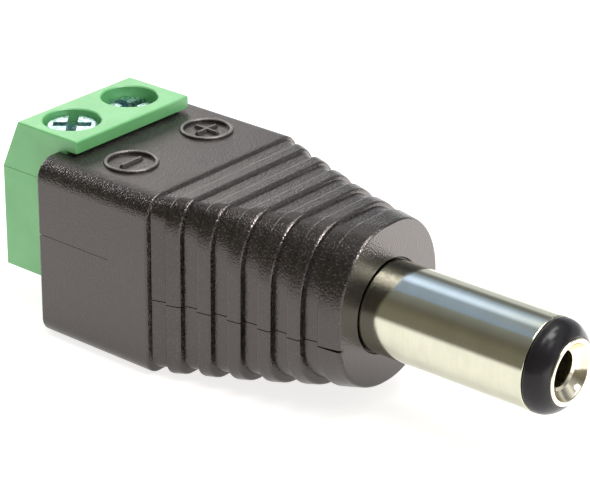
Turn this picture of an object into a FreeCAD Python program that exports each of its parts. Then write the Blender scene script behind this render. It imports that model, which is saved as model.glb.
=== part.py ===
import FreeCAD, Part
import math, os
from FreeCAD import Vector as V

# DC barrel plug with a two-way screw terminal, millimetres, +Z up.
# Origin: centre of the plug axis at the housing's front face (the face that
# the mating jack stops against). +X runs along the plug to its tip, +Z is the
# side of the terminal screws, +Y the plus side.

# ---------------------------------------------------------------- dimensions
# barrel
R_SLEEVE = 2.75          # outside radius of the outer contact (5.5 mm plug)
R_SLEEVE_IN = 2.45
R_SHOULDER = 3.00        # shoulder of the sleeve inside the nose
X_SHOULDER = -0.12       # its front, behind the thin lip of the front face
R_LIP = 2.83             # hole in that lip, round the barrel
L_SLEEVE = 10.90         # exposed metal
X_TIP = 12.36            # front of the funnel rim
R_BORE = 1.05            # centre contact bore (2.1 mm pin)
R_CONTACT = 1.45
R_FUNNEL = 1.94
X_FUNNEL = 11.66         # where the funnel's throat meets the bore
X_BORE_END = 1.20
X_FLANGE = (-4.00, -3.20)
R_FLANGE = 3.50
R_SEAT = 3.15            # bore behind the flange groove

# black housing: stations along X with half width, top, width of the top
# corner's rounding, bottom, bottom corner radius, height of the top corner's
# rounding (outline of the raised ribs)
X_REAR = -20.95
STATIONS = [
    (-12.27, 6.75, 5.20, 1.30, -6.05, 1.00, 1.30),
    (-10.31, 6.10, 5.16, 1.38, -5.81, 1.10, 2.30),
    (-8.36, 5.72, 5.13, 1.80, -5.61, 1.40, 2.75),
    (-6.40, 5.41, 5.11, 2.48, -5.41, 1.90, 3.40),
    (-4.44, 5.12, 5.09, 3.06, -5.21, 2.55, 3.95),
    (-2.48, 4.89, 5.08, 3.55, -5.02, 3.40, 4.40),
    (0.00, 4.47, 5.06, 3.95, -4.85, 4.35, 4.55),
]
X_NOSE_REAR = -1.43
RIB_LEN = 0.92
RIB_DEPTH = (0.34, 0.44)  # depth of the first and of the last groove
TOP_SHARE = 0.45         # the grooves are shallower on the top
DRAFT = 0.05             # axial run of the walls of each groove
EDGE = 0.15              # rounding of the rib edges
Z_SEAM_BLOCK = 0.55      # parting line of the two shells in the block
Z_SEAM_NOSE = -1.15      # and in the ribbed nose
X_SEAM_STEP = -12.245
SEAM_GAP = 0.055
SEAM_GAP_BLOCK = 0.030   # it is finer in the block
SEAM_DEPTH = 0.20

# marks on the top
X_MARK = -16.55
Y_MARK = 3.30
R_MARK = 1.63
W_MARK = 0.25
H_MARK = 0.17

# green terminal block
W_BLOCK = 9.80
X_TB_REAR = -25.67
X_TB_DECK = -24.28       # rear edge of the top deck
Z_TB_BEVEL = 3.04        # lower end of the rear bevel
Z_TB_TOP = 6.19
Z_TB_BOT = -3.46
X_TB_LIP = -19.42
Z_TB_LIP = 5.43
X_TB_THROAT = -20.25
Z_TB_LOW = 3.90          # top of the part of the block inside the shells
X_TB_FRONT = -17.00
PITCH = 5.00
X_WAY = -22.10
R_WELL = 1.75
Z_SHOULDER = 4.10
Z_ROOF = 3.45
R_NECK = 1.40
ENTRY_W = 2.60           # throat of each wire entry
ENTRY_Z = (-2.50, -0.10)

# clamp parts
R_HEAD = 1.65
H_HEAD = 1.40
HEAD_DEPTH = {"minus": 0.30, "plus": 0.62}
SLOT_DEG = {"minus": 129.4, "plus": 84.0}
R_SHANK = 1.20
Z_SCREW_END = 0.12
CAGE_W = 3.50
CAGE_D = 3.20
CAGE_T = 0.45
CAGE_TOP_T = 1.10
Z_CAGE_TOP = 1.25        # top of the cage in its open position
Z_CAGE_BOT = -3.05
CAGE_TRAVEL = 1.80       # 4 turns of the 0.45 mm pitch screw
R_CAGE_HOLE = 1.25
CLEAR = 0.12

# contact bars
BAR_W = 2.10
BAR_T = 0.60
Z_BAR_TOP = -0.10
X_LEG = (-19.70, -19.10)
PIN_W = 1.00
Z_PIN = -4.50

# link wires
R_WIRE = 0.40
Z_WIRE = -4.05

SIDES = (("minus", -1), ("plus", 1))


# ------------------------------------------------------------------- helpers
def box(x0, x1, y0, y1, z0, z1):
    return Part.makeBox(x1 - x0, y1 - y0, z1 - z0, V(x0, y0, z0))


def cyl_x(r, x0, x1, y=0.0, z=0.0):
    return Part.makeCylinder(r, x1 - x0, V(x0, y, z), V(1, 0, 0))


def cyl_z(r, z0, z1, x=0.0, y=0.0):
    return Part.makeCylinder(r, z1 - z0, V(x, y, z0), V(0, 0, 1))


def revolve_x(points):
    """Solid of revolution about X from (x, r) points; a point may be a tuple
    of three (x, r) pairs, which is an arc through them."""
    edges = []
    prev = None
    first = None
    for p in points:
        if isinstance(p[0], tuple):
            a, m, b = [V(q[0], q[1], 0) for q in p]
            if prev is not None and (prev - a).Length > 1e-6:
                edges.append(Part.LineSegment(prev, a).toShape())
            edges.append(Part.Arc(a, m, b).toShape())
            if first is None:
                first = a
            prev = b
        else:
            q = V(p[0], p[1], 0)
            if prev is not None and (prev - q).Length > 1e-6:
                edges.append(Part.LineSegment(prev, q).toShape())
            if first is None:
                first = q
            prev = q
    if (prev - first).Length > 1e-6:
        edges.append(Part.LineSegment(prev, first).toShape())
    face = Part.Face(Part.Wire(edges))
    return face.revolve(V(0, 0, 0), V(1, 0, 0), 360)


def section_wire(x, a, top, rt, bot, rb, rv, d=0.0):
    """Rounded rectangle in the plane X = x, pulled in by d at the sides and
    below, and by less on the top."""
    a -= d
    top -= d * TOP_SHARE
    bot += d
    rt = max(rt - d * (1 + TOP_SHARE) / 2, 0.25)
    rv = max(rv - d * (1 + TOP_SHARE) / 2, 0.25)
    rb = max(rb - d, 0.25)
    rt = min(rt, a - 0.05)
    rb = min(rb, a - 0.05)
    c = math.sqrt(0.5)

    def P(y, z):
        return V(x, y, z)

    def arc(cy, cz, r, sy, sz, first_y):
        p_side = P(cy + sy * r, cz)
        p_end = P(cy, cz + sz * r)
        mid = P(cy + sy * r * c, cz + sz * r * c)
        if first_y:
            return Part.Arc(p_side, mid, p_end).toShape()
        return Part.Arc(p_end, mid, p_side).toShape()

    def quarter(p, corner, q):
        """Quarter of an ellipse from p to q, inside their corner."""
        b = Part.BezierCurve()
        b.setPoles([p, corner, q])
        b.setWeight(2, c)
        return b.toShape()

    line = lambda p, q: Part.LineSegment(p, q).toShape()
    edges = [
        line(P(a, bot + rb), P(a, top - rv)),
        quarter(P(a, top - rv), P(a, top), P(a - rt, top)),
        line(P(a - rt, top), P(-(a - rt), top)),
        quarter(P(-(a - rt), top), P(-a, top), P(-a, top - rv)),
        line(P(-a, top - rv), P(-a, bot + rb)),
        arc(-(a - rb), bot + rb, rb, -1, -1, True),
        line(P(-(a - rb), bot), P(a - rb, bot)),
        arc(a - rb, bot + rb, rb, 1, -1, False),
    ]
    return Part.Wire(edges)


def station(x):
    """Outline of the ribs at x, by straight lines between the stations."""
    if x <= STATIONS[0][0]:
        return STATIONS[0][1:]
    for s, t in zip(STATIONS[:-1], STATIONS[1:]):
        if x <= t[0]:
            f = (x - s[0]) / (t[0] - s[0])
            return tuple(s[k] + (t[k] - s[k]) * f for k in range(1, 7))
    return STATIONS[-1][1:]


def groove_depth(x):
    """Depth of the grooves at x; they get a little deeper towards the front."""
    f = (x - STATIONS[0][0]) / (X_NOSE_REAR - STATIONS[0][0])
    return RIB_DEPTH[0] + (RIB_DEPTH[1] - RIB_DEPTH[0]) * f


def profile(extra=0.0):
    """Sections (x, inset) of the whole housing from rear to front."""
    e = EDGE
    g = 0.134 * e
    h = 0.5 * e

    def rear(x):
        """Rounded edge that faces the rear, from the wall to the rib's crest."""
        return [(x, e), (x + g, h), (x + h, g), (x + e, 0.0)]

    def front(x):
        return [(x - e, 0.0), (x - h, g), (x - g, h), (x, e)]

    rows = rear(X_REAR)
    fronts = [s[0] for s in STATIONS[:-1]]
    xf = fronts[0]
    rows += front(xf) + [(xf + DRAFT, groove_depth(xf))]
    for xf in fronts[1:]:
        xr = xf - RIB_LEN
        rows += [(xr - DRAFT, groove_depth(xr))] + rear(xr) + front(xf) + [(xf + DRAFT, groove_depth(xf))]
    xr = X_NOSE_REAR
    rows += [(xr - DRAFT, groove_depth(xr))] + rear(xr) + front(0.0)
    return [(x, d + extra) for x, d in rows]


def outer_solid(extra=0.0):
    wires = [section_wire(x, *station(x), d=d) for x, d in profile(extra)]
    return Part.makeLoft(wires, True, True)


def one(shape):
    """The single solid of a boolean result."""
    sols = shape.Solids
    if len(sols) == 1:
        return sols[0]
    sols = sorted(sols, key=lambda s: -s.Volume)
    return sols[0]


def straight_rod(points, r, bend):
    """Round wire through points: straight runs joined by tangent arcs."""
    pts = [V(*p) for p in points]
    edges = []
    start = pts[0]
    for i in range(1, len(pts) - 1):
        a = (pts[i] - pts[i - 1])
        b = (pts[i + 1] - pts[i])
        a.normalize()
        b.normalize()
        turn = a.getAngle(b)
        t = bend * math.tan(turn / 2)
        p = pts[i] - a * t
        q = pts[i] + b * t
        n = (b - a)
        n.normalize()
        centre = pts[i] + n * (bend / math.cos(turn / 2))
        m = centre - n * bend
        edges.append(Part.LineSegment(start, p).toShape())
        edges.append(Part.Arc(p, m, q).toShape())
        start = q
    edges.append(Part.LineSegment(start, pts[-1]).toShape())
    path = Part.Wire(edges)
    d = pts[1] - pts[0]
    d.normalize()
    prof = Part.Wire([Part.makeCircle(r, pts[0], d)])
    return one(path.makePipeShell([prof], True, True))


# ------------------------------------------------------------- black housing
def mark_ring(y, plus):
    """Raised ring with a raised bar or cross, moulded on the top face."""
    z = STATIONS[0][2]
    ro, ri, h = R_MARK, R_MARK - W_MARK, H_MARK
    rc = (ro - ri) / 2
    edges = [Part.LineSegment(V(ri, 0, -0.10), V(ro, 0, -0.10)).toShape(),
             Part.LineSegment(V(ro, 0, -0.10), V(ro, 0, h - rc)).toShape(),
             Part.Arc(V(ro, 0, h - rc), V(ri + rc, 0, h), V(ri, 0, h - rc)).toShape(),
             Part.LineSegment(V(ri, 0, h - rc), V(ri, 0, -0.10)).toShape()]
    face = Part.Face(Part.Wire(edges))
    ring = face.revolve(V(0, 0, 0), V(0, 0, 1), 360)
    L, w = 0.92, 0.17

    def bar(lx, ly):
        lo = [V(-lx, -ly, -0.10), V(lx, -ly, -0.10), V(lx, ly, -0.10), V(-lx, ly, -0.10)]
        hi = [V(p.x * (1 - 0.11 / lx), p.y * (1 - 0.11 / ly), 0.13) for p in lo]
        w0 = Part.makePolygon(lo + [lo[0]])
        w1 = Part.makePolygon(hi + [hi[0]])
        return Part.makeLoft([w0, w1], True, True)

    sign = bar(w, L)
    if plus:
        sign = sign.fuse(bar(L, w)).removeSplitter()
    out = ring.fuse(sign)
    out.translate(V(X_MARK, y, z))
    return out


def housing():
    body = outer_solid()
    # cavity for the terminal block's wiring space
    cav = box(-19.95, -13.30, -5.50, 5.50, -4.85, 4.00)
    # opening for the terminal block
    cav = cav.fuse(box(X_REAR - 1, -19.0, -W_BLOCK / 2, W_BLOCK / 2, Z_TB_BOT, Z_TB_LOW))
    cav = cav.fuse(box(X_REAR - 1, X_TB_THROAT, -W_BLOCK / 2, W_BLOCK / 2, Z_TB_LOW - 0.5, 6.0))
    # link wire chamber through the ribs
    cav = cav.fuse(box(-13.60, -6.60, -3.60, 3.60, -3.60, 3.30))
    # seat of the plug insert
    cav = cav.fuse(cyl_x(R_SEAT, -7.00, -3.60))
    cav = cav.fuse(cyl_x(R_FLANGE, X_FLANGE[0], X_FLANGE[1]))
    cav = cav.fuse(cyl_x(R_SHOULDER, -3.60, X_SHOULDER))
    cav = cav.fuse(cyl_x(R_LIP, X_SHOULDER - 0.05, 1.0))
    cav = cav.fuse(Part.makeCone(R_LIP, R_LIP + 0.08, 0.08, V(-0.06, 0, 0), V(1, 0, 0)))
    body = body.cut(cav)
    # ribs of the collar that enter the block's side grooves
    for s in (-1, 1):
        y0, y1 = (4.50, 4.95) if s > 0 else (-4.95, -4.50)
        body = body.fuse(box(-20.30, -19.60, y0, y1, -3.00, 3.00))
    # rib that carries the front of the terminal block
    body = body.fuse(box(-19.98, -16.60, -0.90, 0.90, -4.90, Z_TB_BOT))
    # posts for the locating pins
    for s in (-1, 1):
        post = cyl_z(1.10, -5.2, 4.6, -14.15, s * 4.75)
        body = body.fuse(post)
    return body


def split_region():
    return box(-40, X_SEAM_STEP, -20, 20, Z_SEAM_BLOCK, 20).fuse(
        box(X_SEAM_STEP, 20, -20, 20, Z_SEAM_NOSE, 20)).removeSplitter()


def seam_relief():
    """Thin relief along the outside of the parting line, with the small
    notch at each end."""
    inner = outer_solid(SEAM_DEPTH)
    g = SEAM_GAP
    slab = box(X_REAR - 0.5, -15.3, -9, 9, Z_SEAM_BLOCK - SEAM_GAP_BLOCK, Z_SEAM_BLOCK)
    slab2 = box(X_SEAM_STEP + 0.03, 0.5, -9, 9, Z_SEAM_NOSE - g, Z_SEAM_NOSE)
    # wedge that opens towards the front face
    p = [V(X_NOSE_REAR, -9, Z_SEAM_NOSE), V(0.3, -9, Z_SEAM_NOSE), V(0.3, -9, Z_SEAM_NOSE - 0.20),
         V(X_NOSE_REAR, -9, Z_SEAM_NOSE - g)]
    wedge = Part.Face(Part.makePolygon(p + [p[0]])).extrude(V(0, 18, 0))
    # notch at the rear edge
    q = [V(X_REAR - 0.3, -9, Z_SEAM_BLOCK), V(X_REAR + 0.35, -9, Z_SEAM_BLOCK), V(X_REAR - 0.3, -9, Z_SEAM_BLOCK - 0.30)]
    notch = Part.Face(Part.makePolygon(q + [q[0]])).extrude(V(0, 18, 0))
    rim = box(-30, 10, -20, 20, -20, 20).cut(inner)
    out = None
    for s in (slab, slab2, wedge, notch):
        c = s.cut(inner)
        out = c if out is None else out.fuse(c)
    # leave the step and the front face alone
    keep = box(X_REAR - 1, 0.6, -9, -R_SLEEVE - 0.6, -9, 9).fuse(
        box(X_REAR - 1, 0.6, R_SLEEVE + 0.6, 9, -9, 9))
    return out.common(keep)


def make_shells():
    body = housing()
    region = split_region()
    top = body.common(region)
    bottom = body.cut(region)
    bottom = bottom.cut(seam_relief())
    for s in (-1, 1):
        bottom = bottom.fuse(cyl_z(0.55, Z_SEAM_BLOCK - 0.5, Z_SEAM_BLOCK + 1.2, -14.15, s * 4.75))
        top = top.cut(cyl_z(0.55, Z_SEAM_BLOCK - 0.5, Z_SEAM_BLOCK + 1.4, -14.15, s * 4.75))
    # marks: the floor inside each ring is let in a little
    for name, s in SIDES:
        z = STATIONS[0][2]
        top = top.cut(cyl_z(R_MARK - W_MARK, z - 0.05, z + 0.5, X_MARK, s * Y_MARK))
        top = top.fuse(mark_ring(s * Y_MARK, name == "plus"))
    return one(top.removeSplitter()), one(bottom.removeSplitter())


# ------------------------------------------------------------ terminal block
def make_terminal_block():
    h = W_BLOCK / 2
    side = [(X_TB_REAR, Z_TB_BOT), (X_TB_REAR, Z_TB_BEVEL), (X_TB_DECK, Z_TB_TOP), (X_TB_LIP, Z_TB_TOP),
            (X_TB_LIP, Z_TB_LIP), (X_TB_THROAT, Z_TB_LIP), (X_TB_THROAT, Z_TB_LOW), (X_TB_FRONT, Z_TB_LOW),
            (X_TB_FRONT, Z_TB_BOT)]
    pts = [V(x, -h, z) for x, z in side]
    b = Part.Face(Part.makePolygon(pts + [pts[0]])).extrude(V(0, W_BLOCK, 0))
    # soften the outside edges that can be seen
    sel = []
    for e in b.Edges:
        p, q = e.Vertexes[0].Point, e.Vertexes[1].Point
        m = (p + q) * 0.5
        if m.x < X_TB_LIP + 0.01 and m.z > Z_TB_LIP + 0.01 and m.x > X_TB_REAR + 0.2:
            sel.append(e)
        elif abs(m.x - X_TB_REAR) < 0.01 or (abs(m.x - (X_TB_REAR + X_TB_DECK) / 2) < 0.05 and m.z > Z_TB_BEVEL):
            sel.append(e)
    b = b.makeFillet(0.10, sel)
    # faint witness line under the bevel on both sides
    for s in (-1, 1):
        y0, y1 = (h - 0.02, h + 1) if s > 0 else (-h - 1, -h + 0.02)
        b = b.cut(box(X_TB_REAR - 1, X_REAR + 0.05, y0, y1, Z_TB_BEVEL - 0.035, Z_TB_BEVEL + 0.035))
        g0, g1 = (4.50, h + 1) if s > 0 else (-h - 1, -4.50)
        b = b.cut(box(-20.30, -19.60, g0, g1, -3.00, 3.00))
    for name, s in SIDES:
        y = s * PITCH / 2
        # screw well with a softened mouth
        well = cyl_z(R_WELL, Z_SHOULDER, Z_TB_TOP + 1, X_WAY, y)
        b = b.cut(well)
        mouth = Part.makeCone(R_WELL, R_WELL + 0.30, 0.30, V(X_WAY, y, Z_TB_TOP - 0.07), V(0, 0, 1))
        b = b.cut(mouth)
        b = b.cut(cyl_z(R_NECK, Z_ROOF - 0.2, Z_SHOULDER + 0.2, X_WAY, y))
        # pocket for the rising cage
        hw = CAGE_W / 2 + CLEAR
        b = b.cut(box(X_WAY - CAGE_D / 2 - CLEAR, X_WAY + CAGE_D / 2 + CLEAR, y - hw, y + hw, Z_CAGE_BOT - CLEAR, Z_ROOF))
        # wire entry: a tapered mouth and a throat
        x_in = X_WAY - CAGE_D / 2
        hy, z0, z1 = ENTRY_W / 2, ENTRY_Z[0], ENTRY_Z[1]
        b = b.cut(box(X_TB_REAR - 0.5, x_in, y - hy, y + hy, z0, z1))
        fy, fz = hy + 0.45, 0.40
        xa, xb = X_TB_REAR - 0.01, X_TB_REAR + 1.20
        outer = [V(xa, y - fy, z0 - fz), V(xa, y + fy, z0 - fz), V(xa, y + fy, z1 + fz), V(xa, y - fy, z1 + fz)]
        inner = [V(xb, y - hy, z0), V(xb, y + hy, z0), V(xb, y + hy, z1), V(xb, y - hy, z1)]
        mouth = Part.makeLoft([Part.makePolygon(outer + [outer[0]]), Part.makePolygon(inner + [inner[0]])], True, True)
        b = b.cut(mouth)
        # slot for the contact bar, open to the front and the bottom
        b = b.cut(box(X_WAY, X_TB_FRONT + 0.5, y - BAR_W / 2, y + BAR_W / 2, Z_BAR_TOP - BAR_T, Z_BAR_TOP))
        b = b.cut(box(X_LEG[0], X_TB_FRONT + 0.5, y - BAR_W / 2, y + BAR_W / 2, Z_TB_BOT - 0.5, Z_BAR_TOP))
    return one(b.removeSplitter())


def make_contact_bar(y):
    t0, t1 = Z_BAR_TOP - BAR_T, Z_BAR_TOP
    b = box(X_WAY - 1.45, X_LEG[1], y - BAR_W / 2, y + BAR_W / 2, t0, t1)
    b = b.fuse(box(X_LEG[0], X_LEG[1], y - BAR_W / 2, y + BAR_W / 2, -3.10, t1))
    b = b.fuse(box(X_LEG[0], X_LEG[1], y - PIN_W / 2, y + PIN_W / 2, Z_PIN, -3.0))
    b = b.removeSplitter()
    # outside of the bend
    sel = [e for e in b.Edges if abs(e.CenterOfMass.x - X_LEG[1]) < 1e-3 and abs(e.CenterOfMass.z - t1) < 1e-3
           and abs(e.CenterOfMass.y - y) < 1e-3]
    return one(b.makeFillet(0.45, sel))


def make_cage(y):
    x0, x1 = X_WAY - CAGE_D / 2, X_WAY + CAGE_D / 2
    h = CAGE_W / 2
    b = box(x0, x1, y - h, y + h, Z_CAGE_BOT, Z_CAGE_TOP)
    sel = [e for e in b.Edges if abs(abs(e.CenterOfMass.y - y) - h) < 1e-3 and abs(e.CenterOfMass.x - X_WAY) < 1e-3]
    b = b.makeFillet(0.35, sel)
    win = box(x0 - 1, x1 + 1, y - h + CAGE_T, y + h - CAGE_T, Z_CAGE_BOT + CAGE_T, Z_CAGE_TOP - CAGE_TOP_T)
    sel = [e for e in win.Edges if abs(abs(e.CenterOfMass.y - y) - (h - CAGE_T)) < 1e-3 and abs(e.CenterOfMass.x - X_WAY) < 1e-3]
    b = b.cut(win.makeFillet(0.15, sel))
    b = b.cut(cyl_z(R_CAGE_HOLE, Z_CAGE_TOP - CAGE_TOP_T - 0.1, Z_CAGE_TOP + 0.1, X_WAY, y))
    # grip grooves across the clamping face
    for dx in (-0.9, 0.0, 0.9):
        b = b.cut(box(X_WAY + dx - 0.10, X_WAY + dx + 0.10, y - 0.95, y + 0.95, Z_CAGE_BOT + CAGE_T - 0.10, Z_CAGE_BOT + CAGE_T + 0.05))
    return one(b)


def make_screw(name, y):
    zt = Z_TB_TOP - HEAD_DEPTH[name]
    zb = zt - H_HEAD
    # pan head with a rounded top edge, plain shank with a chamfered end
    e = 0.28
    c = math.sqrt(0.5)
    edges = []
    pts = [V(0, 0, zt), V(R_HEAD - e, 0, zt)]
    edges.append(Part.LineSegment(pts[0], pts[1]).toShape())
    mid = V(R_HEAD - e + e * c, 0, zt - e + e * c)
    edges.append(Part.Arc(pts[1], mid, V(R_HEAD, 0, zt - e)).toShape())
    chain = [V(R_HEAD, 0, zt - e), V(R_HEAD, 0, zb + 0.08), V(R_HEAD - 0.08, 0, zb), V(R_SHANK, 0, zb),
             V(R_SHANK, 0, Z_SCREW_END + 0.35), V(R_SHANK - 0.35, 0, Z_SCREW_END), V(0, 0, Z_SCREW_END), V(0, 0, zt)]
    for p, q in zip(chain[:-1], chain[1:]):
        edges.append(Part.LineSegment(p, q).toShape())
    s = Part.Face(Part.Wire(edges)).revolve(V(0, 0, 0), V(0, 0, 1), 360)
    # combined recess: one full slot and a shorter cross arm, deeper at the middle
    cut = box(-2.2, 2.2, -0.31, 0.31, zt - 0.55, zt + 1)
    cut = cut.fuse(box(-0.31, 0.31, -1.15, 1.15, zt - 0.80, zt + 1))
    cut = cut.fuse(box(-1.15, 1.15, -0.31, 0.31, zt - 0.80, zt + 1))
    cut = cut.fuse(Part.makeCone(0.15, 0.62, 0.95, V(0, 0, zt - 1.05), V(0, 0, 1)))
    s = s.cut(cut.removeSplitter())
    s.rotate(V(0, 0, 0), V(0, 0, 1), SLOT_DEG[name])
    s.translate(V(X_WAY, y, 0))
    return one(s)


# --------------------------------------------------------------- plug insert
def make_sleeve():
    ro, ri = R_SLEEVE, R_SLEEVE_IN
    return revolve_x([
        (X_FLANGE[0], ri), (X_FLANGE[0], R_FLANGE), (X_FLANGE[1], R_FLANGE), (X_FLANGE[1], R_SHOULDER),
        (X_SHOULDER, R_SHOULDER), (X_SHOULDER, ro),
        ((L_SLEEVE - 0.10, ro), (L_SLEEVE - 0.03, ro - 0.03), (L_SLEEVE, ro - 0.10)),
        (L_SLEEVE, ri)])


def make_tip_insulator():
    return revolve_x([
        (-2.90, 1.60), (-2.90, R_SLEEVE_IN), (L_SLEEVE, R_SLEEVE_IN), (L_SLEEVE, 2.60),
        ((L_SLEEVE, 2.60), (10.96, 2.70), (11.12, 2.735)),
        ((11.12, 2.735), (11.86, 2.48), (12.24, 2.02)),
        (12.24, R_FUNNEL), (12.02, R_FUNNEL), (11.45, R_CONTACT), (9.80, R_CONTACT), (9.60, 1.60)])


def make_centre_contact():
    c = revolve_x([
        (-6.45, 0.0), (-6.45, 0.85), (-6.30, 1.15), (-6.00, 1.15), (-6.00, 0.70), (-2.90, 0.70), (-2.90, R_CONTACT),
        (11.45, R_CONTACT), (12.02, R_FUNNEL), (12.28, R_FUNNEL),
        ((12.28, R_FUNNEL), (12.337, R_FUNNEL - 0.023), (X_TIP, R_FUNNEL - 0.08)),
        (X_TIP, 1.76), ((X_TIP, 1.76), (12.325, 1.69), (12.26, 1.645)),
        ((12.26, 1.645), (12.02, 1.47), (11.76, 1.22)),
        (X_FUNNEL, R_BORE + 0.01), (X_FUNNEL - 0.04, R_BORE), (X_BORE_END, R_BORE), (0.60, 0.0)])
    # two long slots give the bore its spring fingers
    slot = box(2.00, 9.40, -0.17, 0.17, -3, 3)
    return one(c.cut(slot))


def make_rear_insulator():
    b = revolve_x([(-5.60, 0.70), (-5.60, 3.10), (-4.40, 3.10), (-4.40, R_SLEEVE_IN), (-2.90, R_SLEEVE_IN), (-2.90, 0.70)])
    # flat for the sleeve tag
    return one(b.cut(box(-5.70, -4.30, -3.2, -2.52, -0.85, 0.85)))


def make_sleeve_lug():
    ring = cyl_x(2.95, -4.40, -4.00).cut(cyl_x(R_SLEEVE_IN, -4.5, -3.9))
    tail = box(-9.60, -4.00, -2.95, -2.55, -0.80, 0.80)
    tail = tail.cut(cyl_x(R_SLEEVE_IN, -4.5, -3.9))
    b = ring.fuse(tail).removeSplitter()
    return one(b.cut(box(-12, -9.25, -5, -2, 0.45, 2)).cut(box(-12, -9.25, -5, -2, -2, -0.45)))


def make_centre_lug():
    ring = cyl_x(1.90, -6.00, -5.60).cut(cyl_x(0.70, -6.1, -5.5))
    tail = box(-9.60, -5.60, 1.50, 1.90, -0.80, 0.80).cut(cyl_x(0.70, -6.1, -5.5))
    b = ring.fuse(tail).removeSplitter()
    return one(b.cut(box(-12, -9.25, 1, 3, 0.45, 2)).cut(box(-12, -9.25, 1, 3, -2, -0.45)))


def wire_route(side):
    if side == "minus":
        return [(X_LEG[1], -2.50, Z_WIRE), (-15.90, -2.50, Z_WIRE), (-11.10, -2.15, 0.0), (-7.60, -2.15, 0.0)]
    return [(X_LEG[1], 2.50, Z_WIRE), (-15.90, 2.50, Z_WIRE), (-11.10, 2.30, 0.0), (-7.60, 2.30, 0.0)]


def make_solder_bar(y, bar, wire):
    """Fillet of solder between the foot of a contact bar and its wire."""
    x = X_LEG[1]
    s = Part.makeCone(0.66, 0.46, 0.85, V(x, y, Z_WIRE), V(1, 0, 0))
    s = s.common(box(x, x + 2, y - 2, y + 2, -4.75, Z_TB_BOT - 0.02))
    return one(s.cut(wire))


def make_solder_lug(lug, wire, y_face, y_wire, s):
    """Solder that wets one face of a tag and the wire lying on it."""
    b = Part.makeCylinder(0.62, 1.30, V(-9.20, y_wire, 0), V(1, 0, 0))
    b = b.fuse(Part.makeCone(0.44, 0.62, 0.22, V(-9.42, y_wire, 0), V(1, 0, 0)))
    b = b.fuse(Part.makeCone(0.62, 0.44, 0.22, V(-7.90, y_wire, 0), V(1, 0, 0)))
    if s > 0:
        b = b.common(box(-10, -7, y_face, y_face + 2, -0.44, 0.44))
    else:
        b = b.common(box(-10, -7, y_face, y_face + 2, -0.44, 0.44))
    return one(b.cut(wire).removeSplitter())


def main():
    os.makedirs("parts", exist_ok=True)
    parts = {}
    parts["housing_top"], parts["housing_bottom"] = make_shells()
    parts["terminal_block"] = make_terminal_block()
    for name, s in SIDES:
        y = s * PITCH / 2
        parts["contact_bar_" + name] = make_contact_bar(y)
        parts["clamp_cage_" + name] = make_cage(y)
        parts["clamp_screw_" + name] = make_screw(name, y)
    parts["barrel_sleeve"] = make_sleeve()
    parts["tip_insulator"] = make_tip_insulator()
    parts["centre_contact"] = make_centre_contact()
    parts["rear_insulator"] = make_rear_insulator()
    parts["sleeve_lug"] = make_sleeve_lug()
    parts["centre_lug"] = make_centre_lug()
    for name, s in SIDES:
        parts["link_wire_" + name] = straight_rod(wire_route(name), R_WIRE, 1.6)
    for name, s in SIDES:
        y = s * PITCH / 2
        parts["solder_bar_" + name] = make_solder_bar(y, parts["contact_bar_" + name], parts["link_wire_" + name])
    parts["solder_lug_minus"] = make_solder_lug(parts["sleeve_lug"], parts["link_wire_minus"], -2.55, -2.15, 1)
    parts["solder_lug_plus"] = make_solder_lug(parts["centre_lug"], parts["link_wire_plus"], 1.90, 2.30, 1)
    for name in sorted(parts):
        s = parts[name]
        bb = s.BoundBox
        print("%-18s %-6s solids %d valid %s vol %9.3f  x %.2f..%.2f y %.2f..%.2f z %.2f..%.2f" % (
            name, s.ShapeType, len(s.Solids), s.isValid(), s.Volume, bb.XMin, bb.XMax, bb.YMin, bb.YMax, bb.ZMin, bb.ZMax))
        s.exportStep("parts/%s.step" % name)
    return parts


if __name__ == "__main__":
    main()
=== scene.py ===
"""DC barrel plug with a two-way screw terminal: looks, light and camera."""

import math
import bpy
from mathutils import Matrix, Vector

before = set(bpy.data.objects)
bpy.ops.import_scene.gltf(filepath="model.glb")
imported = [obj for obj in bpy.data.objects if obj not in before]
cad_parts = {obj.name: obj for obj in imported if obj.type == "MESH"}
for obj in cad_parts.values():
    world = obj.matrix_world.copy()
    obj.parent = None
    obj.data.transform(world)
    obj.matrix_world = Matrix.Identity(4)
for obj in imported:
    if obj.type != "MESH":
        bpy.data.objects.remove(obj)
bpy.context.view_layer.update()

MM = 0.001


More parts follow.
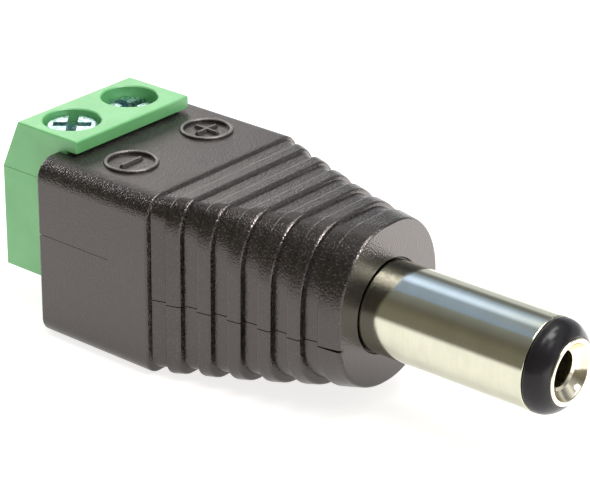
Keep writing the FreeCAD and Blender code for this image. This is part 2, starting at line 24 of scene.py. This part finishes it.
# ------------------------------------------------------------------ helpers
class Mat:
    """Small builder for node materials."""

    def __init__(self, name):
        self.mat = bpy.data.materials.new(name)
        self.mat.use_nodes = True
        self.nt = self.mat.node_tree
        self.nt.nodes.clear()
        self.out = self.nt.nodes.new("ShaderNodeOutputMaterial")
        self.bsdf = self.nt.nodes.new("ShaderNodeBsdfPrincipled")
        self.nt.links.new(self.bsdf.outputs[0], self.out.inputs["Surface"])
        self.tc = self.nt.nodes.new("ShaderNodeTexCoord")

    def node(self, kind, **kw):
        n = self.nt.nodes.new(kind)
        for k, v in kw.items():
            setattr(n, k, v)
        return n

    def link(self, a, b):
        self.nt.links.new(a, b)

    def coords(self, scale=(1, 1, 1), rot=(0, 0, 0)):
        m = self.node("ShaderNodeMapping")
        m.inputs["Scale"].default_value = scale
        m.inputs["Rotation"].default_value = rot
        self.link(self.tc.outputs["Object"], m.inputs["Vector"])
        return m.outputs[0]

    def noise(self, scale, detail=3.0, rough=0.55, vec=None, distortion=0.0):
        n = self.node("ShaderNodeTexNoise")
        n.inputs["Scale"].default_value = scale
        n.inputs["Detail"].default_value = detail
        n.inputs["Roughness"].default_value = rough
        n.inputs["Distortion"].default_value = distortion
        self.link(vec if vec is not None else self.tc.outputs["Object"], n.inputs["Vector"])
        return n.outputs["Fac"]

    def ramp(self, fac, stops, interp="LINEAR"):
        r = self.node("ShaderNodeValToRGB")
        r.color_ramp.interpolation = interp
        els = r.color_ramp.elements
        while len(els) < len(stops):
            els.new(0.5)
        for e, (p, c) in zip(els, stops):
            e.position = p
            e.color = c if len(c) == 4 else (*c, 1.0)
        self.link(fac, r.inputs["Fac"])
        return r.outputs["Color"]

    def math(self, op, a, b=None, c=None, clamp=False):
        n = self.node("ShaderNodeMath", operation=op, use_clamp=clamp)
        for i, v in enumerate((a, b, c)):
            if v is None:
                continue
            if isinstance(v, (int, float)):
                n.inputs[i].default_value = v
            else:
                self.link(v, n.inputs[i])
        return n.outputs[0]

    def remap(self, v, a, b, c, d):
        n = self.node("ShaderNodeMapRange")
        n.inputs["From Min"].default_value = a
        n.inputs["From Max"].default_value = b
        n.inputs["To Min"].default_value = c
        n.inputs["To Max"].default_value = d
        self.link(v, n.inputs["Value"])
        return n.outputs["Result"]

    def mix(self, fac, a, b):
        n = self.node("ShaderNodeMix", data_type="RGBA")
        for sock, v in (("Factor", fac), ("A", a), ("B", b)):
            s = [i for i in n.inputs if i.name == sock and i.enabled][0] if sock != "Factor" else n.inputs[0]
            if sock == "A":
                s = n.inputs[6]
            elif sock == "B":
                s = n.inputs[7]
            if isinstance(v, (int, float, tuple)):
                s.default_value = v
            else:
                self.link(v, s)
        return n.outputs[2]

    def bump(self, height, strength, distance, prev=None):
        n = self.node("ShaderNodeBump")
        n.inputs["Strength"].default_value = strength
        n.inputs["Distance"].default_value = distance
        self.link(height, n.inputs["Height"])
        if prev is not None:
            self.link(prev, n.inputs["Normal"])
        return n.outputs["Normal"]

    def set(self, **kw):
        names = {"color": "Base Color", "rough": "Roughness", "metal": "Metallic", "ior": "IOR",
                 "normal": "Normal", "coat": "Coat Weight", "coat_rough": "Coat Roughness",
                 "spec": "Specular IOR Level", "aniso": "Anisotropic", "sss": "Subsurface Weight",
                 "sss_scale": "Subsurface Scale", "sss_radius": "Subsurface Radius"}
        for k, v in kw.items():
            s = self.bsdf.inputs[names[k]]
            if hasattr(v, "is_linked") or isinstance(v, bpy.types.NodeSocket):
                self.link(v, s)
            else:
                s.default_value = v
        return self.mat


def black_plastic():
    m = Mat("black_plastic")
    fine = m.noise(9500, 1.0, 0.5)
    broad = m.noise(260, 2.0, 0.5)
    col = m.ramp(m.math("ADD", m.math("MULTIPLY", fine, 0.85), m.math("MULTIPLY", broad, 0.15)),
                 [(0.30, (0.0010, 0.0008, 0.0008)), (0.50, (0.0052, 0.0045, 0.0044)), (0.70, (0.0340, 0.0296, 0.0290))])
    # painted highlight: the crests of the raised marks are painted pale where light would catch them
    sep = m.node("ShaderNodeSeparateXYZ")
    m.link(m.tc.outputs["Object"], sep.inputs[0])
    crest_highlight = m.math("MULTIPLY", m.remap(sep.outputs[2], 0.005312, 0.005345, 0.0, 1.0),
                   m.remap(fine, 0.30, 0.65, 0.55, 1.0))
    col = m.mix(crest_highlight, col, (0.12, 0.112, 0.106, 1.0))
    # the block's flat top is more matt, and its long corners are grainier
    block = m.remap(sep.outputs[0], -0.01236, -0.01228, 1.0, 0.0)
    flat = m.math("MULTIPLY", block, m.remap(sep.outputs[2], 0.00508, 0.00518, 0.0, 1.0))
    side = m.math("ABSOLUTE", sep.outputs[1])
    corner = m.math("MULTIPLY", block, m.math("MULTIPLY", m.remap(side, 0.0053, 0.0057, 0.0, 1.0),
                                              m.remap(sep.outputs[2], 0.0037, 0.0040, 0.0, 1.0)))
    bump = m.node("ShaderNodeBump")
    bump.inputs["Distance"].default_value = 0.000066
    m.link(fine, bump.inputs["Height"])
    m.link(m.remap(corner, 0.0, 1.0, 0.36, 0.62), bump.inputs["Strength"])
    n = bump.outputs["Normal"]
    m.bsdf.inputs["Specular Tint"].default_value = (1.0, 0.90, 0.86, 1.0)
    rough = m.math("ADD", m.remap(broad, 0.3, 0.7, 0.19, 0.25), m.math("MULTIPLY", flat, 0.16))
    return m.set(color=col, rough=rough, normal=n, spec=0.89)


def gloss_black():
    m = Mat("gloss_black")
    a = m.noise(900, 2.0, 0.5)
    b = m.noise(5200, 3.0, 0.6)
    col = m.ramp(a, [(0.3, (0.0110, 0.0098, 0.0112)), (0.7, (0.0165, 0.0148, 0.0168))])
    n = m.bump(b, 0.10, 0.00002)
    return m.set(color=col, rough=m.remap(a, 0.3, 0.7, 0.19, 0.26), normal=n, spec=0.24)


def insulator_black():
    m = Mat("insulator_black")
    a = m.noise(2600, 3.0, 0.55)
    col = m.ramp(a, [(0.3, (0.022, 0.021, 0.021)), (0.7, (0.038, 0.037, 0.036))])
    return m.set(color=col, rough=m.remap(a, 0.3, 0.7, 0.42, 0.55), normal=m.bump(a, 0.25, 0.00002))


def green_plastic():
    m = Mat("green_plastic")
    a = m.noise(420, 3.0, 0.5)
    b = m.noise(5200, 3.0, 0.55)
    col = m.ramp(a, [(0.25, (0.140, 0.468, 0.160)), (0.55, (0.166, 0.522, 0.190)), (0.80, (0.196, 0.570, 0.221))])
    n = m.bump(b, 0.18, 0.00002)
    return m.set(color=col, rough=m.remap(b, 0.3, 0.7, 0.30, 0.42), normal=n, spec=0.85)


def plated(name, dark, light, rough=(0.10, 0.17), streak=0.10, bumpy=0.05, root_shade=None):
    """Turned and plated metal: fine lines round the plug axis."""
    m = Mat(name)
    lines = m.noise(1.0, 3.0, 0.6, m.coords((26000, 500, 500)))
    cloud = m.noise(700, 3.0, 0.5)
    col = m.ramp(m.math("ADD", m.math("MULTIPLY", cloud, 0.6), m.math("MULTIPLY", lines, 0.4)), [(0.3, dark), (0.7, light)])
    if root_shade is not None:
        # painted shade: the sleeve is darkened towards its root, where it enters the housing's bore
        sep = m.node("ShaderNodeSeparateXYZ")
        m.link(m.tc.outputs["Object"], sep.inputs[0])
        col = m.mix(m.remap(sep.outputs[0], root_shade[0], root_shade[1], 0.0, 1.0), (0.03, 0.028, 0.022, 1.0), col)
    r = m.remap(lines, 0.25, 0.75, rough[0], rough[1])
    n = m.bump(lines, streak, 0.00001)
    n = m.bump(cloud, bumpy, 0.00003, n)
    return m.set(color=col, metal=1.0, rough=r, normal=n)


def brushed(name, dark, light, rough=(0.22, 0.38), scale=2400, speckled=False):
    m = Mat(name)
    a = m.noise(scale, 4.0, 0.6)
    b = m.noise(scale * 0.2, 2.0, 0.5)
    col = m.ramp(m.math("ADD", m.math("MULTIPLY", a, 0.5), m.math("MULTIPLY", b, 0.5)), [(0.3, dark), (0.7, light)])
    if speckled:
        # blotchy zinc, a little greenish where it is dull
        speck = m.noise(4800, 2.0, 0.6)
        col = m.mix(m.remap(speck, 0.46, 0.58, 0.0, 1.0), (0.27, 0.47, 0.46, 1.0), col)
    n = m.bump(a, 0.22, 0.00002)
    return m.set(color=col, metal=1.0, rough=m.remap(b, 0.3, 0.7, rough[0], rough[1]), normal=n)


def use(material, *nodes):
    for name in nodes:
        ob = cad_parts[name]
        ob.data.materials.clear()
        ob.data.materials.append(material)


# ---------------------------------------------------------------- materials
MATS = {
    "black": black_plastic(),
    "green": green_plastic(),
    "gloss": gloss_black(),
    "insulator": insulator_black(),
    "nickel": plated("nickel_plate", (0.548, 0.545, 0.43), (0.638, 0.635, 0.505), rough=(0.09, 0.14), root_shade=(-0.00002, 0.00006)),
    "contact": plated("contact_plate", (0.69, 0.63, 0.48), (0.80, 0.74, 0.59), rough=(0.12, 0.20)),
    "zinc": brushed("zinc_steel", (0.68, 0.85, 0.88), (0.83, 0.97, 0.99), rough=(0.22, 0.36), speckled=True),
    "cage": brushed("cage_metal", (0.60, 0.60, 0.60), (0.76, 0.76, 0.75), rough=(0.28, 0.42)),
    "tinned": brushed("tinned_brass", (0.66, 0.64, 0.58), (0.82, 0.80, 0.75), rough=(0.24, 0.38)),
    "wire": brushed("tinned_wire", (0.70, 0.68, 0.64), (0.86, 0.84, 0.80), rough=(0.16, 0.28)),
    "solder": brushed("solder", (0.62, 0.63, 0.65), (0.82, 0.83, 0.85), rough=(0.14, 0.26), scale=1500),
}
use(MATS["black"], "housing_top", "housing_bottom")
use(MATS["green"], "terminal_block")
use(MATS["gloss"], "tip_insulator")
use(MATS["insulator"], "rear_insulator")
use(MATS["nickel"], "barrel_sleeve")
use(MATS["contact"], "centre_contact")
use(MATS["zinc"], "clamp_screw_minus", "clamp_screw_plus")
use(MATS["cage"], "clamp_cage_minus", "clamp_cage_plus")
use(MATS["tinned"], "contact_bar_minus", "contact_bar_plus", "sleeve_lug", "centre_lug")
use(MATS["wire"], "link_wire_minus", "link_wire_plus")
use(MATS["solder"], "solder_bar_minus", "solder_bar_plus", "solder_lug_minus", "solder_lug_plus")

# -------------------------------------------------------------------- stage
z0 = -6.05 * MM
bpy.ops.mesh.primitive_plane_add(size=3.0, location=(0, 0, z0 - 0.00001))
floor = bpy.context.object
floor.name = "floor"
fm = Mat("floor_paper")
fn = fm.noise(60, 2.0, 0.5)
fsep = fm.node("ShaderNodeSeparateXYZ")
fm.link(fm.tc.outputs["Object"], fsep.inputs[0])
# painted light: a pool of extra emission on the floor, rising towards the far side of the nose
along = fm.math("ADD", fm.math("MULTIPLY", fsep.outputs[0], 0.60), fm.math("MULTIPLY", fsep.outputs[1], 0.80))
glow = fm.node("ShaderNodeMapRange", interpolation_type="SMOOTHSTEP")
for k, v in (("From Min", 0.003), ("From Max", 0.020), ("To Min", 0.0), ("To Max", 1.6)):
    glow.inputs[k].default_value = v
fm.link(along, glow.inputs["Value"])
# the painted pool of light is kept beside and before the nose
ahead = fm.node("ShaderNodeMapRange", interpolation_type="SMOOTHSTEP")
for k, v in (("From Min", -0.006), ("From Max", 0.002), ("To Min", 0.0), ("To Max", 1.0)):
    ahead.inputs[k].default_value = v
fm.link(fsep.outputs[0], ahead.inputs["Value"])
lit = fm.math("ADD", fm.math("MULTIPLY", glow.outputs["Result"], ahead.outputs["Result"]), 0.80)
# painted shade: the floor's emission and colour fall off to grey a hand's breadth in front of the plug
across = fm.math("ADD", fm.math("MULTIPLY", fsep.outputs[0], 0.773), fm.math("MULTIPLY", fsep.outputs[1], 0.634))
fall = fm.node("ShaderNodeMapRange", interpolation_type="SMOOTHSTEP")
for k, v in (("From Min", -0.125), ("From Max", -0.030), ("To Min", 0.42), ("To Max", 1.0)):
    fall.inputs[k].default_value = v
fm.link(across, fall.inputs["Value"])
fm.bsdf.inputs["Emission Color"].default_value = (1.0, 0.985, 0.972, 1.0)
fm.link(fm.math("MULTIPLY", lit, fall.outputs["Result"]), fm.bsdf.inputs["Emission Strength"])
floor.data.materials.append(fm.set(color=fm.mix(fall.outputs["Result"], (0.20, 0.198, 0.198, 1.0),
                                                fm.ramp(fn, [(0.3, (0.53, 0.52, 0.52)), (0.7, (0.55, 0.54, 0.54))])),
                                   rough=0.9, spec=0.1))

# world: a soft room whose brightness changes round the plug's axis, from the
# near horizon (0) over the ceiling (0.5) to the far horizon (1)
world = bpy.data.worlds.new("studio")
bpy.context.scene.world = world
world.use_nodes = True
nt = world.node_tree
nt.nodes.clear()
out = nt.nodes.new("ShaderNodeOutputWorld")
bg = nt.nodes.new("ShaderNodeBackground")
tc = nt.nodes.new("ShaderNodeTexCoord")
sep = nt.nodes.new("ShaderNodeSeparateXYZ")
neg = nt.nodes.new("ShaderNodeMath")
neg.operation = "MULTIPLY"
neg.inputs[1].default_value = -1.0
ang = nt.nodes.new("ShaderNodeMath")
ang.operation = "ARCTAN2"
div = nt.nodes.new("ShaderNodeMath")
div.operation = "DIVIDE"
div.inputs[1].default_value = math.pi
ramp = nt.nodes.new("ShaderNodeValToRGB")
nt.links.new(tc.outputs["Generated"], sep.inputs[0])
nt.links.new(sep.outputs["Y"], neg.inputs[0])
nt.links.new(sep.outputs["Z"], ang.inputs[0])
nt.links.new(neg.outputs[0], ang.inputs[1])
nt.links.new(ang.outputs[0], div.inputs[0])
nt.links.new(div.outputs[0], ramp.inputs["Fac"])
els = ramp.color_ramp.elements
stops = [(0.000, (0.27, 0.25, 0.20)), (0.080, (0.25, 0.235, 0.19)), (0.135, (0.245, 0.23, 0.178)),
         (0.195, (0.20, 0.186, 0.145)), (0.250, (0.183, 0.17, 0.148)), (0.305, (0.226, 0.225, 0.215)),
         (0.367, (0.29, 0.30, 0.29)), (0.430, (0.38, 0.385, 0.38)), (0.490, (0.41, 0.415, 0.415)),
         (0.555, (0.42, 0.43, 0.43)), (0.600, (0.95, 0.97, 0.98)), (0.630, (1.22, 1.25, 1.26)),
         (0.660, (1.05, 1.08, 1.09)), (0.710, (0.65, 0.67, 0.69)), (0.760, (0.35, 0.37, 0.38)),
         (0.800, (0.24, 0.25, 0.26)), (0.840, (0.24, 0.25, 0.25)), (0.880, (0.70, 0.72, 0.74)),
         (0.920, (0.85, 0.87, 0.90)), (1.000, (0.85, 0.86, 0.86))]
WORLD = 2.2
while len(els) < len(stops):
    els.new(0.5)
for e, (p, c) in zip(els, stops):
    e.position = p
    e.color = (*(k / WORLD for k in c), 1.0)
nt.links.new(ramp.outputs["Color"], bg.inputs["Color"])
bg.inputs["Strength"].default_value = WORLD
nt.links.new(bg.outputs[0], out.inputs["Surface"])

C0 = Vector((-0.008, 0.0, 0.0))


def area(name, direction, dist, size, level, colour=(1, 1, 1), size_y=None, along=None):
    """Softbox in a direction; level is the diffuse brightness that it gives a
    white surface facing it. size_y runs along the given line."""
    light = bpy.data.lights.new(name, "AREA")
    light.energy = level * math.pi ** 2 * dist ** 2
    light.color = colour
    light.size = size
    if size_y:
        light.shape = "RECTANGLE"
        light.size_y = size_y
    ob = bpy.data.objects.new(name, light)
    bpy.context.collection.objects.link(ob)
    d = Vector(direction).normalized()
    line = Vector(along or (0.0, 1.0, 0.0))
    y = (line - line.dot(d) * d).normalized()
    x = y.cross(d)
    turn = Matrix((x, y, d)).transposed()
    ob.matrix_world = Matrix.Translation(C0 + d * dist) @ turn.to_4x4()
    return ob


area("key_top", (0.28, 0.10, 0.95), 0.36, 0.11, 0.38, (1.0, 1.0, 0.99), 0.11)
area("cross_strip", (0.06, 0.10, 0.99), 0.36, 0.07, 0.46, (1.0, 0.99, 0.98), 0.34)
area("rear_soft", (-0.70, 0.60, 0.39), 0.36, 0.10, 0.064, (1.0, 0.95, 0.92), 0.10, (0.0, 0.0, 1.0))
area("rear_low", (-0.93, 0.18, 0.27), 0.36, 0.09, 0.16, (1.0, 0.98, 0.96), 0.22)
area("front_right", (0.60, -0.10, 0.79), 0.36, 0.10, 0.10, (1.0, 1.0, 1.0), 0.10)
# two small lamps that only the black shells catch, on the edges of their ribs
EDGES_ON = bpy.data.collections.new("shells_only")
for name in ("housing_top", "housing_bottom"):
    EDGES_ON.objects.link(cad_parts[name])
for glint in (area("glint_front", (0.727, 0.005, 0.687), 0.36, 0.05, 0.95, (1.0, 1.0, 1.0), 0.16, (0.20, -0.90, -0.39)),
              area("glint_rear", (-0.885, 0.0, 0.464), 0.36, 0.045, 0.17, (1.0, 1.0, 1.0), 0.12, (0.10, 0.90, 0.20))):
    glint.light_linking.receiver_collection = EDGES_ON
# a cool window along the plug that only its barrel catches
COOL_ON = bpy.data.collections.new("barrel_only")
COOL_ON.objects.link(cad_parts["barrel_sleeve"])
for cool in (area("cool_wide", (-0.574, 0.216, 0.790), 0.36, 0.38, 0.093, (0.0, 0.31, 1.0), 0.10, (1.0, 0.0, 0.0)),
             area("cool_core", (-0.574, 0.343, 0.744), 0.36, 0.12, 0.030, (0.0, 0.27, 1.0), 0.10, (1.0, 0.0, 0.0))):
    cool.data.energy *= 0.32 if cool.name == "cool_wide" else 0.45
    cool.light_linking.receiver_collection = COOL_ON

# ------------------------------------------------------------------- camera
AZ, EL, ROLL = math.radians(39.346), math.radians(25.065), math.radians(0.582)
back = Vector((math.sin(AZ) * math.cos(EL), -math.cos(AZ) * math.cos(EL), math.sin(EL)))
right = Vector((math.cos(AZ), math.sin(AZ), 0.0))
up = back.cross(right)
r2 = math.cos(ROLL) * right + math.sin(ROLL) * up
u2 = -math.sin(ROLL) * right + math.cos(ROLL) * up
cam_data = bpy.data.cameras.new("photo_camera")
cam_data.sensor_width = 36.0
cam_data.sensor_fit = "HORIZONTAL"
cam_data.lens = 2492.0 / 590.0 * 36.0
cam_data.clip_start = 0.005
cam_data.clip_end = 20.0
cam = bpy.data.objects.new("photo_camera", cam_data)
bpy.context.collection.objects.link(cam)
m = Matrix.Identity(4)
for i in range(3):
    m[i][0], m[i][1], m[i][2] = r2[i], u2[i], back[i]
m[0][3], m[1][3], m[2][3] = 75.527 * MM, -100.506 * MM, 62.145 * MM
cam.matrix_world = m
bpy.context.scene.camera = cam

bpy.context.scene.view_settings.view_transform = "Standard"
bpy.context.scene.view_settings.look = "None"
bpy.context.scene.view_settings.exposure = 0.0
bpy.context.scene.view_settings.gamma = 1.0
